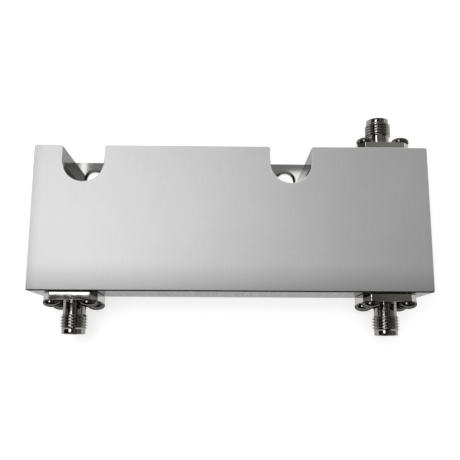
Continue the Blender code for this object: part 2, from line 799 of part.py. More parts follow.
def thread_profile():
    """Crests and roots of the thread as rings, from the outer end inwards."""
    crest = THREAD_DIAMETER / 2
    root = crest - THREAD_ROOT_DEPTH
    end = THREAD_START + THREAD_TURNS * THREAD_PITCH
    points = []
    for turn in range(THREAD_TURNS):
        top = end - turn * THREAD_PITCH
        points.append((root, top))
        points.append((crest, top - THREAD_PITCH / 2))
    points.append((root, THREAD_START))
    return points


def make_connector_body(port, parts, cutters):
    """Flange, neck, thread and mouth in one turned and milled piece."""
    name = port + "_connector_body"
    item = flat_solid(name, flange_outline(), SEAT_GAP, FLANGE_THICKNESS + SEAT_GAP, parts)
    item = place_mesh(item)
    neck = NECK_DIAMETER / 2
    pilot = PILOT_DIAMETER / 2
    bore = INSULATOR_BORE / 2
    mouth = MOUTH_DIAMETER / 2
    root = FLANGE_THICKNESS / 2
    profile = [(mouth, JACK_LENGTH), (pilot, JACK_LENGTH)]
    profile.append((pilot, THREAD_START + THREAD_TURNS * THREAD_PITCH + FIT_GAP))
    profile += thread_profile()
    profile += [(neck, THREAD_START - FIT_GAP), (neck, root), (bore, root)]
    profile += [(bore, INSULATOR_FRONT), (mouth, INSULATOR_FRONT)]
    barrel = turned_solid(name + "_barrel", profile, ROUND_STEPS, cutters, closed=True)
    hole = hole_set(name + "_bore", [(0, 0)], bore, -CUT_THROUGH, INSULATOR_FRONT / 2, cutters,
                    ROUND_STEPS)
    holes = hole_set(name + "_holes", flange_screw_places(), FLANGE_HOLE_DIAMETER / 2,
                     -CUT_THROUGH, FLANGE_THICKNESS + CUT_THROUGH, cutters)
    boolean(item, hole, "DIFFERENCE")
    boolean(item, barrel, "UNION")
    boolean(item, holes, "DIFFERENCE")
    return bake(item)


def place_mesh(item):
    """Move an object's own place into its mesh."""
    item.data.transform(item.matrix_world)
    item.matrix_world = Matrix.Identity(4)
    return item


def make_insulator(port, parts):
    """Bead and stub of one jack, with a bore for the contact."""
    outer = INSULATOR_BORE / 2 - FIT_GAP
    inner = CONTACT_DIAMETER / 2 + FIT_GAP
    profile = [(inner, INSULATOR_FRONT), (outer, INSULATOR_FRONT), (outer, -PORT_WALL),
               (inner, -PORT_WALL)]
    item = turned_solid(port + "_connector_insulator", profile, ROUND_STEPS, parts, closed=True)
    return bake(item)


def make_contact(port, parts, cutters):
    """Slotted socket, round pin and flat tab in one piece."""
    name = port + "_connector_contact"
    outer = CONTACT_DIAMETER / 2
    bore = SOCKET_BORE / 2
    front = INSULATOR_FRONT - SOCKET_RECESS
    tip = -PORT_WALL - PIN_REACH
    profile = [(0, front - SOCKET_DEPTH), (bore, front - SOCKET_DEPTH), (bore, front),
               (outer, front), (outer, tip), (0, tip)]
    item = turned_solid(name, profile, SCREW_STEPS, parts)
    arm = SOCKET_SLOT_WIDTH / 2
    low = front - SOCKET_SLOT_DEPTH
    for label, size_x, size_y in (("slot_a", outer * 2, arm), ("slot_b", arm, outer * 2)):
        slot = box(name + "_" + label, (-size_x, -size_y, low),
                   (size_x, size_y, front + CUT_THROUGH), cutters)
        boolean(item, slot, "DIFFERENCE")
    tab = box(name + "_tab", (-TAB_WIDTH / 2, -CENTRE_BOARD_THICKNESS / 2, tip - TAB_LENGTH),
              (TAB_WIDTH / 2, CENTRE_BOARD_THICKNESS / 2, tip + PIN_REACH / 2), cutters)
    boolean(item, tab, "UNION")
    return bake(item)


def make_port(port, x, direction, parts, cutters, materials):
    """One whole jack at its port."""
    body = make_connector_body(port, parts, cutters)
    insulator = make_insulator(port, parts)
    contact = make_contact(port, parts, cutters)
    seat = FLANGE_THICKNESS + SEAT_GAP * 2
    screws = screw_row(port + "_connector_screw", pan_screw(cutters),
                       at_places(flange_screw_places(), seat), parts)
    frame = bpy.data.objects.new(port + "_port", None)
    frame.matrix_world = port_frame(x, direction)
    parts.objects.link(frame)
    pieces = [(body, "jack"), (insulator, "ptfe"), (contact, "gold")]
    pieces += [(screw, "screw") for screw in screws]
    for item, key in pieces:
        item.parent = frame
        finish(item, materials[key])


def make_materials():
    """One material for each kind of surface."""
    return {
        "housing": make_material("housing_plating", (0.66, 0.66, 0.65), 0.9, 0.38),
        "cover": make_material("cover_plating", (0.66, 0.66, 0.65), 0.9, 0.3),
        "plate": make_material("plate_aluminium", (0.72, 0.73, 0.74), 1.0, 0.35),
        "jack": make_material("jack_steel", (0.62, 0.61, 0.58), 1.0, 0.16),
        "screw": make_material("screw_steel", (0.6, 0.6, 0.6), 1.0, 0.2),
        "ptfe": make_material("ptfe", (0.87, 0.86, 0.82), 0.0, 0.45),
        "gold": make_material("gold_plating", (0.9, 0.68, 0.28), 1.0, 0.2),
        "copper": make_material("strip_copper", (0.85, 0.45, 0.3), 1.0, 0.3),
        "laminate": make_material("laminate", (0.78, 0.74, 0.6), 0.0, 0.5),
        "ceramic": make_material("resistor_ceramic", (0.12, 0.12, 0.12), 0.0, 0.5),
        "brass": make_material("block_brass", (0.75, 0.58, 0.3), 1.0, 0.3),
    }


def build():
    """Model the whole coupler."""
    clear_scene()
    parts = new_collection("coaxial_directional_coupler")
    cutters = new_collection("cutters")
    materials = make_materials()
    finish(make_housing(parts, cutters), materials["housing"])
    finish(make_cover(parts, cutters), materials["cover"])
    finish(make_plate(parts, cutters), materials["plate"])
    for item in make_cover_screws(parts, cutters) + make_clamp_screws(parts, cutters):
        finish(item, materials["screw"])
    pin_slot = CONTACT_DIAMETER + 2 * PIN_SLOT_CLEARANCE
    tab_slot = PIN_REACH + TAB_LENGTH + BOARD_CLEARANCE
    lower = make_board("lower_dielectric_board", LOWER_BOARD_LOW, LOWER_BOARD_HIGH, pin_slot,
                       PIN_REACH + BOARD_CLEARANCE, parts, cutters)
    centre = make_board("centre_board", CENTRE_BOARD_LOW, CENTRE_BOARD_HIGH, pin_slot, tab_slot,
                        parts, cutters)
    upper = make_board("upper_dielectric_board", UPPER_BOARD_LOW, UPPER_BOARD_HIGH, pin_slot,
                       PIN_REACH + BOARD_CLEARANCE, parts, cutters)
    resistor, pad, block = make_load(parts, cutters, upper)
    for board in (lower, upper):
        finish(board, materials["ptfe"])
    finish(centre, materials["laminate"])
    finish(resistor, materials["ceramic"])
    finish(block, materials["brass"])
    for strip in (pad, make_through_line(parts), make_coupled_line(parts)):
        finish(strip, materials["copper"])
    for port, x, direction in PORTS:
        make_port(port, x, direction, parts, cutters, materials)


build()
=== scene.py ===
"""Looks of the coaxial directional coupler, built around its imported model.

The coupler lies on its rear cover with the front face up.  +X is to the right and +Y is
upwards when the front face is looked at.  Lengths are in metres, angles in radians.
"""
import math

import bmesh
import bpy
from mathutils import Matrix
from mathutils import Vector


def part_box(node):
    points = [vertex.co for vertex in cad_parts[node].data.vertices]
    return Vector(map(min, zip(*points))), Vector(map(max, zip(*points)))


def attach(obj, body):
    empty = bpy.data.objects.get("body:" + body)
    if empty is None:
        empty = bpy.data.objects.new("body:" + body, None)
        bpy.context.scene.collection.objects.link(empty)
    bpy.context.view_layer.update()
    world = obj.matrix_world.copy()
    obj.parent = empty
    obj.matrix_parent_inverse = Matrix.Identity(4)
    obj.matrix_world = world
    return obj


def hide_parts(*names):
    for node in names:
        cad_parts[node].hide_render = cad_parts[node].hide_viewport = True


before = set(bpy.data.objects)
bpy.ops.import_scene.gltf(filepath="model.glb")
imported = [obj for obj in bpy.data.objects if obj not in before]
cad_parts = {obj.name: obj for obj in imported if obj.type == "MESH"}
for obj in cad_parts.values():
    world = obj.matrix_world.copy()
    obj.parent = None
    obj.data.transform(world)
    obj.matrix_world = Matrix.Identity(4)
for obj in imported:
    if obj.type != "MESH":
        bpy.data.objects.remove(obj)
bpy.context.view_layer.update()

MM = 0.001

# Gaps between pieces, as in the model
SEAT_GAP = 0.1 * MM
FIT_GAP = 0.05 * MM

# Body and cover; the flanges of the jacks set the depth
BODY_WIDTH = 94.4 * MM
BODY_HEIGHT = 35.0 * MM
COVER_THICKNESS = 1.2 * MM
HOUSING_BACK = COVER_THICKNESS + SEAT_GAP
FLANGE_HALF = 6.35 * MM
FRONT_MARGIN = 1.5 * MM
BODY_DEPTH = HOUSING_BACK + 2 * FLANGE_HALF + FRONT_MARGIN
CORNER_RADIUS = 0.5 * MM
FRONT_EDGE = 0.1 * MM
LOWER_EDGE = 0.28 * MM
BACK_EDGE = 0.12 * MM

# Notches and mounting holes
NOTCH_WIDTH = 9.9 * MM
NOTCH_DEPTH = 9.0 * MM
NOTCH_MOUTH_RADIUS = 0.5 * MM
LEFT_NOTCH_INSET = 11.8 * MM
RIGHT_NOTCH_INSET = 32.9 * MM
NOTCH_X = (LEFT_NOTCH_INSET - BODY_WIDTH / 2, BODY_WIDTH / 2 - RIGHT_NOTCH_INSET)
MOUNT_HOLE_RADIUS = 2.1 * MM
MOUNT_HOLE_CHAMFER = 0.6 * MM
MOUNT_HOLE_INSET = 4.55 * MM
MOUNT_HOLE_Y = BODY_HEIGHT / 2 - MOUNT_HOLE_INSET

# Cavity, with a branch that reaches up to the coupled port
PORT_WALL = 4.5 * MM
SIDE_WALL = 5.2 * MM
NOTCH_WALL = 2.1 * MM
BRANCH_WIDTH = 18.0 * MM
CAVITY_RADIUS = 1.5 * MM
CAVITY_FLOOR = 9.8 * MM
CAVITY_RIGHT = BODY_WIDTH / 2 - SIDE_WALL
CAVITY_LEFT = -CAVITY_RIGHT
CAVITY_BOTTOM = -BODY_HEIGHT / 2 + PORT_WALL
CAVITY_TOP = BODY_HEIGHT / 2 - NOTCH_DEPTH - NOTCH_WALL
BRANCH_LEFT = CAVITY_RIGHT - BRANCH_WIDTH
BRANCH_TOP = BODY_HEIGHT / 2 - PORT_WALL

# Ports: name, place of the axis along X, and which way it points along Y
PORT_INSET = 9.8 * MM
PORT_X = BODY_WIDTH / 2 - PORT_INSET
PORTS = (("input", PORT_X, -1), ("output", -PORT_X, -1), ("coupled", PORT_X, 1))
AXIS_Z = HOUSING_BACK + FLANGE_HALF

# Jacks, measured out from the mounting face
FLANGE_THICKNESS = 1.85 * MM
FLANGE_TOP = SEAT_GAP + FLANGE_THICKNESS
FLANGE_CHAMFER = 1.65 * MM
FLANGE_EDGE = 0.12 * MM
FLANGE_HOLE_SPACING = 8.64 * MM
FLANGE_HOLE_RADIUS = 1.25 * MM
JACK_LENGTH = 9.6 * MM
NECK_RADIUS = 2.725 * MM
NECK_FILLET = 0.15 * MM
PILOT_RADIUS = 2.8 * MM
PILOT_EDGE = 0.1 * MM
MOUTH_RADIUS = 2.3 * MM
MOUTH_DEPTH = 1.9 * MM
MOUTH_EDGE = 0.12 * MM
INSULATOR_RADIUS = 2.05 * MM
INSULATOR_FRONT = JACK_LENGTH - MOUTH_DEPTH
CONTACT_RADIUS = 0.635 * MM
CONTACT_EDGE = 0.08 * MM
SOCKET_RADIUS = 0.47 * MM
SOCKET_RECESS = 0.1 * MM
SOCKET_FRONT = INSULATOR_FRONT - SOCKET_RECESS
SOCKET_DEPTH = 2.9 * MM
SLOT_WIDTH = 0.16 * MM
SLOT_DEPTH = 2.2 * MM
PIN_REACH = 1.0 * MM
TAB_LENGTH = 1.8 * MM
TAB_WIDTH = 0.9 * MM
TAB_THICKNESS = 0.4 * MM

# Thread: 36 turns an inch; a row is its place along the pitch and its share of the depth, and
# the rows of the spare turns are held at the thread's two ends
THREAD_RADIUS = 3.175 * MM
THREAD_DEPTH = 0.38 * MM
THREAD_PITCH = 25.4 * MM / 36
THREAD_TURNS = 5
SPARE_TURNS = 3
THREAD_LOW = 4.95 * MM
THREAD_HIGH = THREAD_LOW + THREAD_TURNS * THREAD_PITCH
THREAD_ROWS = ((0.0, 0.0), (0.08, 0.0), (0.13, 0.06), (0.18, 0.2), (0.33, 0.74), (0.38, 0.93),
               (0.42, 1.0), (0.62, 1.0), (0.66, 0.93), (0.71, 0.74), (0.86, 0.2), (0.91, 0.06),
               (0.96, 0.0))

# Screws: pan heads on the flanges, countersunk ones in the cover and on the inner plate
PAN_SEAT = FLANGE_TOP + SEAT_GAP
PAN_RADIUS = 2.1 * MM
PAN_HEIGHT = 1.5 * MM
PAN_SIDE = 0.45 * MM
PAN_SHANK_RADIUS = 1.05 * MM
PAN_SHANK_LENGTH = 5.4 * MM
HOLE_BOTTOM = 0.3 * MM
SINK_RADIUS = 1.8 * MM
SINK_HEIGHT = 0.8 * MM
SINK_SHANK_RADIUS = 1.0 * MM
SINK_SHANK_LENGTH = 3.6 * MM
SINK_RECESS = 0.05 * MM
RECESS_SPAN = 1.05 * MM
RECESS_ARM = 0.25 * MM
RECESS_DEPTH = 0.7 * MM
RECESS_TAPER = 0.72
COVER_SCREWS = 10
PLATE_SCREWS = 7

# Turn of the cross recess from one screw to the next
PAN_SPIN = 1.3
COVER_SPIN = 0.9

# Smoothness of the turned and rounded shapes
ROUND_STEPS = 96
SCREW_STEPS = 48
BIG_ARC_STEPS = 40
SMALL_ARC_STEPS = 8
BIG_ARC_RADIUS = 2.0 * MM
RIM_SEGMENTS = 4
SMOOTH_ANGLE = math.radians(35)
FLAT_ANGLE = math.radians(0.1)
TINY = 0.0005 * MM
CUT_THROUGH = 1.0 * MM

# Z part of a face's normal: a wall lies below the first value, a flat face above the others
WALL_TILT = 0.05
FRONT_TILT = 0.99
FLANGE_TILT = 0.9

# Materials: roughness of the noise, curve of the painted edge shade, glow of the white plastic
NOISE_ROUGHNESS = 0.55
PAINTED_SHADE_CURVE = 0.7
PLASTIC_GLOW = 0.15
PLASTIC_GLOW_REACH = 1.0 * MM

# First and second input and the output of a mix node, by the kind of its values
MIX_SOCKETS = {"FLOAT": (2, 3, 0), "RGBA": (6, 7, 2)}

# Camera, fitted to the photograph
CAMERA_PLACE = Vector((-2.36819, -32.01295, 160.89853)) * MM
CAMERA_RIGHT = Vector((0.9998768, 0.0042317, 0.0151155))
CAMERA_UP = Vector((-0.0070992, 0.9807701, 0.1950374))
CAMERA_BACK = Vector((-0.0139995, -0.1951207, 0.9806793))
CAMERA_LENS = 49.53
CAMERA_SENSOR = 36.0
CAMERA_NEAR = 5 * MM
CAMERA_FAR = 20000 * MM

# Floor: its colour, and the light that it gives to the eye and to the metal
FLOOR_HALF = 30000 * MM
FLOOR_DROP = 0.02 * MM
FLOOR_LIT = 0.42
FLOOR_GLOW = 0.72

# Room: brightness by the angle from the zenith towards +X in degrees, then the shares of the
# pale part behind and of the dark part in front, by the angle towards +Y
ROOM_ACROSS = ((-180, 0.5), (-92, 0.5), (-86, 0.015), (-36, 0.02), (-14, 0.05), (12, 0.05),
               (16, 0.2), (24, 0.2), (28, 0.05), (42, 0.06), (54, 0.14), (88, 0.3),
               (95, 0.5), (180, 0.5))
ROOM_BEHIND_SHARE = ((6, 0.0), (10, 0.14), (21, 0.14), (23, 0.02), (60, 0.05), (76, 1.0))
ROOM_FRONT_SHARE = ((-60, 1.0), (-12, 0.0))
ROOM_BEHIND = 0.95
ROOM_FRONT = 0.012
ROOM_SEEN = 0.84
ROOM_TINT = (1.0, 0.985, 0.96)

# Softboxes overhead: name, corners in X and Y in millimetres, and brightness
SOFTBOX_HEIGHT = 400 * MM
SOFTBOXES = (("near_main_softbox", (-240, 20.4), (-127, 98), 4.8),
             ("far_main_softbox", (-240, 154), (-129, 256), 4.8),
             ("gap_strip", (-131.5, 98), (-125.5, 154), 1.6),
             ("middle_softbox", (-127, 20.4), (-10, 90), 7.6),
             ("far_softbox", (-129, 168), (-100, 256), 5.0),
             ("strip_softbox", (-290, -62), (-128, 5), 5.5),
             ("right_card", (58, 50), (125, 134), 1.3),
             ("centre_card", (-62, 94), (-14, 134), 3.8))

# A weaker softbox on the right that faces the body, and an even fill straight above
RIGHT_SOFTBOX_PLACE = Vector((435, 60, 400)) * MM
RIGHT_SOFTBOX_AIM = Vector((0, 60, 0)) * MM
RIGHT_SOFTBOX_SIZE = (90 * MM, 420 * MM)
RIGHT_SOFTBOX_RADIANCE = 0.3
RIGHT_SOFTBOX_COLOUR = (1.0, 0.98, 0.95)
FILL_HEIGHT = 700 * MM
FILL_SIZE = (700 * MM, 700 * MM)
FILL_RADIANCE = 2.0


def link(name, bm):
    """Turn a bmesh into an object of the scene."""
    bmesh.ops.recalc_face_normals(bm, faces=bm.faces[:])
    mesh = bpy.data.meshes.new(name)
    bm.to_mesh(mesh)
    bm.free()
    item = bpy.data.objects.new(name, mesh)
    bpy.context.scene.collection.objects.link(item)
    return item


def box(low, high):
    """A block between two corners, used as a cutter or joined to a piece."""
    bm = bmesh.new()
    bmesh.ops.create_cube(bm, size=1.0)
    low = Vector(low)
    high = Vector(high)
    bmesh.ops.scale(bm, vec=high - low, verts=bm.verts[:])
    bmesh.ops.translate(bm, vec=(low + high) / 2, verts=bm.verts[:])
    return link("block", bm)


def round_corners(corners):
    """Points of a closed outline from its corners, each given as x, y, radius."""
    points = []
    count = len(corners)
    for index in range(count):
        here = Vector(corners[index][:2])
        radius = corners[index][2]
        before = (Vector(corners[index - 1][:2]) - here).normalized()
        after = (Vector(corners[(index + 1) % count][:2]) - here).normalized()
        if radius <= 0:
            points.append(here)
            continue
        half_angle = before.angle(after) / 2
        reach = radius / math.tan(half_angle)
        centre = here + (before + after).normalized() * (radius / math.sin(half_angle))
        start = here + before * reach - centre
        turn = start.angle_signed(here + after * reach - centre)
        steps = BIG_ARC_STEPS if radius > BIG_ARC_RADIUS else SMALL_ARC_STEPS
        for step in range(steps + 1):
            arm = start.copy()
            arm.rotate(Matrix.Rotation(-turn * step / steps, 2))
            points.append(centre + arm)
    cleaned = []
    for point in points:
        if not cleaned or (point - cleaned[-1]).length > TINY:
            cleaned.append(point)
    return cleaned


def flat_solid(name, points, low, high):
    """A flat outline in X and Y as a solid between two heights."""
    curve = bpy.data.curves.new(name, "CURVE")
    curve.dimensions = "2D"
    curve.fill_mode = "BOTH"
    curve.extrude = (high - low) / 2
    spline = curve.splines.new("POLY")
    spline.points.add(len(points) - 1)
    for slot, point in zip(spline.points, points):
        slot.co = (point[0], point[1], 0, 1)
    spline.use_cyclic_u = True
    guide = bpy.data.objects.new(name + "_outline", curve)
    bpy.context.scene.collection.objects.link(guide)
    depsgraph = bpy.context.evaluated_depsgraph_get()
    mesh = bpy.data.meshes.new_from_object(guide.evaluated_get(depsgraph))
    bm = bmesh.new()
    bm.from_mesh(mesh)
    bmesh.ops.remove_doubles(bm, verts=bm.verts[:], dist=TINY)
    bmesh.ops.dissolve_limit(bm, angle_limit=FLAT_ANGLE, verts=bm.verts[:], edges=bm.edges[:])
    bmesh.ops.translate(bm, vec=(0, 0, (low + high) / 2), verts=bm.verts[:])
    bpy.data.meshes.remove(mesh)
    bpy.data.objects.remove(guide, do_unlink=True)
    bpy.data.curves.remove(curve)
    return link(name, bm)


def join_rings(bm, rings, closed):
    """Faces between rings that follow each other; a ring of one point is a pole."""
    pairs = list(zip(rings, rings[1:]))
    if closed:
        pairs.append((rings[-1], rings[0]))
    for one, two in pairs:
        count = max(len(one), len(two))
        for step in range(count):
            after = (step + 1) % count
            if len(one) == 1:
                bm.faces.new((one[0], two[after], two[step]))
            elif len(two) == 1:
                bm.faces.new((one[step], one[after], two[0]))
            else:
                bm.faces.new((one[step], one[after], two[after], two[step]))


def ring_points(bm, radius, height, steps):
    """One ring of points about Z, or a pole where the radius is nought."""
    if radius < TINY:
        return [bm.verts.new((0, 0, height))]
    ring = []
    for step in range(steps):
        angle = 2 * math.pi * step / steps
        ring.append(bm.verts.new((radius * math.cos(angle), radius * math.sin(angle), height)))
    return ring


def lathe(name, profile, steps, closed=False):
    """A solid turned about Z from a profile of radius and height."""
    bm = bmesh.new()
    rings = [ring_points(bm, radius, height, steps) for radius, height in profile]
    join_rings(bm, rings, closed)
    return link(name, bm)


def bake(item):
    """Apply an object's modifiers to its mesh."""
    depsgraph = bpy.context.evaluated_depsgraph_get()
    mesh = bpy.data.meshes.new_from_object(item.evaluated_get(depsgraph))
    item.modifiers.clear()
    old = item.data
    item.data = mesh
    bpy.data.meshes.remove(old)
    return item


def combine(item, others, operation):
    """Cut an object with others, or join others to it, and remove them."""
    for other in others:
        modifier = item.modifiers.new(operation.lower(), "BOOLEAN")
        modifier.operation = operation
        modifier.object = other
        modifier.solver = "EXACT"
    bake(item)
    for other in others:
        bpy.data.objects.remove(other, do_unlink=True)
    return item


def placed(item, matrix):
    """Move an object's mesh and leave the object at the origin."""
    item.data.transform(matrix)
    return item


def bevel_rims(item, front, back, corners=0.0, segments=RIM_SEGMENTS):
    """Break the front and back rims of a flat solid, and its upright corners."""
    wide = max(front, back, corners)
    mesh = item.data
    layer = mesh.attributes.new("bevel_weight_edge", "FLOAT", "EDGE")
    heights = [vertex.co.z for vertex in mesh.vertices]
    high = max(heights)
    low = min(heights)
    for edge in mesh.edges:
        ends = [heights[vertex] for vertex in edge.vertices]
        weight = corners
        if min(ends) > high - TINY:
            weight = front
        if max(ends) < low + TINY:
            weight = back
        layer.data[edge.index].value = weight / wide
    modifier = item.modifiers.new("rims", "BEVEL")
    modifier.limit_method = "WEIGHT"
    modifier.width = wide
    modifier.segments = segments
    modifier.use_clamp_overlap = False
    return bake(item)


def lower_edge_cutter():
    """Wedge that breaks the lower front edge of the housing a little more."""
    edge = -BODY_HEIGHT / 2
    reach = CUT_THROUGH
    corners = [(edge + LOWER_EDGE + reach, BODY_DEPTH + reach),
               (edge - reach, BODY_DEPTH - LOWER_EDGE - reach),
               (edge - reach, BODY_DEPTH + reach)]
    bm = bmesh.new()
    ends = []
    for x in (-BODY_WIDTH / 2 - reach, BODY_WIDTH / 2 + reach):
        ends.append([bm.verts.new((x, y, z)) for y, z in corners])
    for step in range(3):
        after = (step + 1) % 3
        bm.faces.new((ends[0][step], ends[0][after], ends[1][after], ends[1][step]))
    bm.faces.new(ends[0])
    bm.faces.new(ends[1][::-1])
    return link("wedge", bm)


def cylinder(radius, low, high, steps, x=0.0, y=0.0):
    """A round cutter along Z."""
    item = lathe("rod", [(0, high), (radius, high), (radius, low), (0, low)], steps)
    return placed(item, Matrix.Translation((x, y, 0)))


def port_frame(x, direction):
    """Matrix that takes a jack's own frame, with +Z outwards, to its port."""
    turn = Matrix.Rotation(math.radians(-90 * direction), 4, "X")
    return Matrix.Translation((x, direction * (BODY_HEIGHT / 2), AXIS_Z)) @ turn


def flange_places():
    """Places of the four screws in a jack's own frame, in the order of their numbers."""
    place = FLANGE_HOLE_SPACING / 2
    return [(side_x * place, side_y * place) for side_x in (-1, 1) for side_y in (-1, 1)]


def screw_places(name, count):
    """Axes of numbered screws along Z, read from the model, and the height of their tips."""
    places = []
    for number in range(1, count + 1):
        low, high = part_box(f"{name}_{number}")
        places.append(((low[0] + high[0]) / 2, (low[1] + high[1]) / 2, high[2]))
    return places


def body_corners(with_notches):
    """Corners of the housing's outline, or of the plain cover's."""
    half = BODY_WIDTH / 2
    top = BODY_HEIGHT / 2
    corners = [
        (-half, top, CORNER_RADIUS),
        (-half, -top, CORNER_RADIUS),
        (half, -top, CORNER_RADIUS),
        (half, top, CORNER_RADIUS),
    ]
    if not with_notches:
        return corners
    for centre in reversed(NOTCH_X):
        arc = NOTCH_WIDTH / 2
        corners += [
            (centre + arc, top, NOTCH_MOUTH_RADIUS),
            (centre + arc, top - NOTCH_DEPTH, arc),
            (centre - arc, top - NOTCH_DEPTH, arc),
            (centre - arc, top, NOTCH_MOUTH_RADIUS),
        ]
    return corners


def cavity_cutter():
    """Cutter for the cavity and its branch."""
    return flat_solid("cavity", round_corners([
        (CAVITY_LEFT, CAVITY_TOP, CAVITY_RADIUS),
        (CAVITY_LEFT, CAVITY_BOTTOM, CAVITY_RADIUS),
        (CAVITY_RIGHT, CAVITY_BOTTOM, CAVITY_RADIUS),
        (CAVITY_RIGHT, BRANCH_TOP, CAVITY_RADIUS),
        (BRANCH_LEFT, BRANCH_TOP, CAVITY_RADIUS),
        (BRANCH_LEFT, CAVITY_TOP, CAVITY_RADIUS),
    ]), HOUSING_BACK - CUT_THROUGH, CAVITY_FLOOR)


def port_cutters():
    """Cutters for the bead and the four tapped holes behind each jack."""
    cutters = []
    tapped = -(PAN_SHANK_LENGTH - PAN_SEAT + HOLE_BOTTOM)
    for _, x, direction in PORTS:
        matrix = port_frame(x, direction)
        cutters.append(placed(cylinder(INSULATOR_RADIUS, -PORT_WALL - CUT_THROUGH, CUT_THROUGH,
                                       ROUND_STEPS), matrix))
        for place_x, place_y in flange_places():
            cutters.append(placed(cylinder(PAN_SHANK_RADIUS + FIT_GAP, tapped, CUT_THROUGH,
                                           SCREW_STEPS, place_x, place_y), matrix))
    return cutters


def rear_hole_cutters():
    """Cutters for the tapped holes of the cover's screws and of the inner plate's."""
    radius = SINK_SHANK_RADIUS + FIT_GAP
    bottom = SINK_RECESS + SINK_HEIGHT + SINK_SHANK_LENGTH + SEAT_GAP
    cutters = []
    for x, y, _ in screw_places("cover_screw", COVER_SCREWS):
        cutters.append(cylinder(radius, 0, bottom, SCREW_STEPS, x, y))
    for x, y, tip in screw_places("pressure_plate_screw", PLATE_SCREWS):
        cutters.append(cylinder(radius, CAVITY_FLOOR - CUT_THROUGH, tip + SEAT_GAP, SCREW_STEPS,
                                x, y))
    return cutters


def make_housing():
    """Milled block with its notches, cavity and holes."""
    item = flat_solid("housing_shell", round_corners(body_corners(True)), HOUSING_BACK,
                      BODY_DEPTH)
    bevel_rims(item, FRONT_EDGE, BACK_EDGE, segments=1)
    cutters = [cavity_cutter(), lower_edge_cutter(), *port_cutters(), *rear_hole_cutters()]
    return combine(item, cutters, "DIFFERENCE")


def make_cover():
    """Plate with two chamfered mounting holes and countersunk screw holes."""
    item = flat_solid("rear_cover_plate", round_corners(body_corners(False)), 0,
                      COVER_THICKNESS)
    bevel_rims(item, BACK_EDGE, BACK_EDGE)
    top = COVER_THICKNESS
    radius = MOUNT_HOLE_RADIUS
    wide = radius + MOUNT_HOLE_CHAMFER
    cutters = []
    for x in NOTCH_X:
        cutter = lathe("mount_hole", [
            (0, top + CUT_THROUGH), (wide, top + CUT_THROUGH), (wide, top),
            (radius, top - MOUNT_HOLE_CHAMFER), (radius, -CUT_THROUGH), (0, -CUT_THROUGH),
        ], ROUND_STEPS)
        cutters.append(placed(cutter, Matrix.Translation((x, MOUNT_HOLE_Y, 0))))
    head = SINK_RADIUS + FIT_GAP + SINK_RECESS
    shank = SINK_SHANK_RADIUS + FIT_GAP + SINK_RECESS
    for x, y, _ in screw_places("cover_screw", COVER_SCREWS):
        cutter = lathe("sink_hole", [
            (0, top + CUT_THROUGH), (shank, top + CUT_THROUGH), (shank, SINK_HEIGHT),
            (head, 0), (head, -CUT_THROUGH), (0, -CUT_THROUGH),
        ], SCREW_STEPS)
        cutters.append(placed(cutter, Matrix.Translation((x, y, 0))))
    return combine(item, cutters, "DIFFERENCE")


def thread_point(height, share):
    """Radius of the thread at a height, held in by the chamfers at its two ends."""
    crest = THREAD_RADIUS - THREAD_DEPTH * (1 - share)
    low = NECK_RADIUS + (height - THREAD_LOW)
    high = PILOT_RADIUS + (THREAD_HIGH - height)
    return min(crest, low, high)


def thread_surface(bm):
    """Right-hand thread between the neck and the pilot; its rows follow the helix."""
    columns = []
    for step in range(ROUND_STEPS):
        angle = 2 * math.pi * step / ROUND_STEPS
        column = []
        for turn in range(THREAD_TURNS + SPARE_TURNS):
            for place, share in THREAD_ROWS:
                climb = turn + place + step / ROUND_STEPS - 1
                height = THREAD_LOW + THREAD_PITCH * climb
                height = min(max(height, THREAD_LOW), THREAD_HIGH)
                radius = thread_point(height, share)
                column.append(bm.verts.new((radius * math.cos(angle), radius * math.sin(angle),
                                            height)))
        columns.append(column)
    for step in range(ROUND_STEPS):
        here = columns[step]
        after = columns[(step + 1) % ROUND_STEPS]
        shift = len(THREAD_ROWS) if step == ROUND_STEPS - 1 else 0
        for row in range(len(here) - 1 - shift):
            bm.faces.new((here[row], after[row + shift], after[row + 1 + shift], here[row + 1]))


def make_barrel():
    """Mouth, pilot, thread and neck of a jack as one turned solid."""
    bm = bmesh.new()
    low = SEAT_GAP + FIT_GAP / 2
    foot = NECK_RADIUS + NECK_FILLET
    below = [(NECK_RADIUS, THREAD_LOW)]
    for step in range(SMALL_ARC_STEPS + 1):
        angle = math.pi / 2 * step / SMALL_ARC_STEPS
        below.append((foot - NECK_FILLET * math.cos(angle),
                      FLANGE_TOP + NECK_FILLET - NECK_FILLET * math.sin(angle)))
    below += [(foot, low), (INSULATOR_RADIUS, low), (INSULATOR_RADIUS, INSULATOR_FRONT),
              (MOUTH_RADIUS, INSULATOR_FRONT), (MOUTH_RADIUS, JACK_LENGTH - MOUTH_EDGE),
              (MOUTH_RADIUS + MOUTH_EDGE, JACK_LENGTH)]
    for step in range(RIM_SEGMENTS + 1):
        angle = math.pi / 2 * step / RIM_SEGMENTS
        below.append((PILOT_RADIUS - PILOT_EDGE + PILOT_EDGE * math.sin(angle),
                      JACK_LENGTH - PILOT_EDGE + PILOT_EDGE * math.cos(angle)))
    below.append((PILOT_RADIUS, THREAD_HIGH))
    rings = [ring_points(bm, radius, height, ROUND_STEPS) for radius, height in below]
    join_rings(bm, rings, False)
    thread_surface(bm)
    bmesh.ops.remove_doubles(bm, verts=bm.verts[:], dist=TINY)
    return link("barrel", bm)


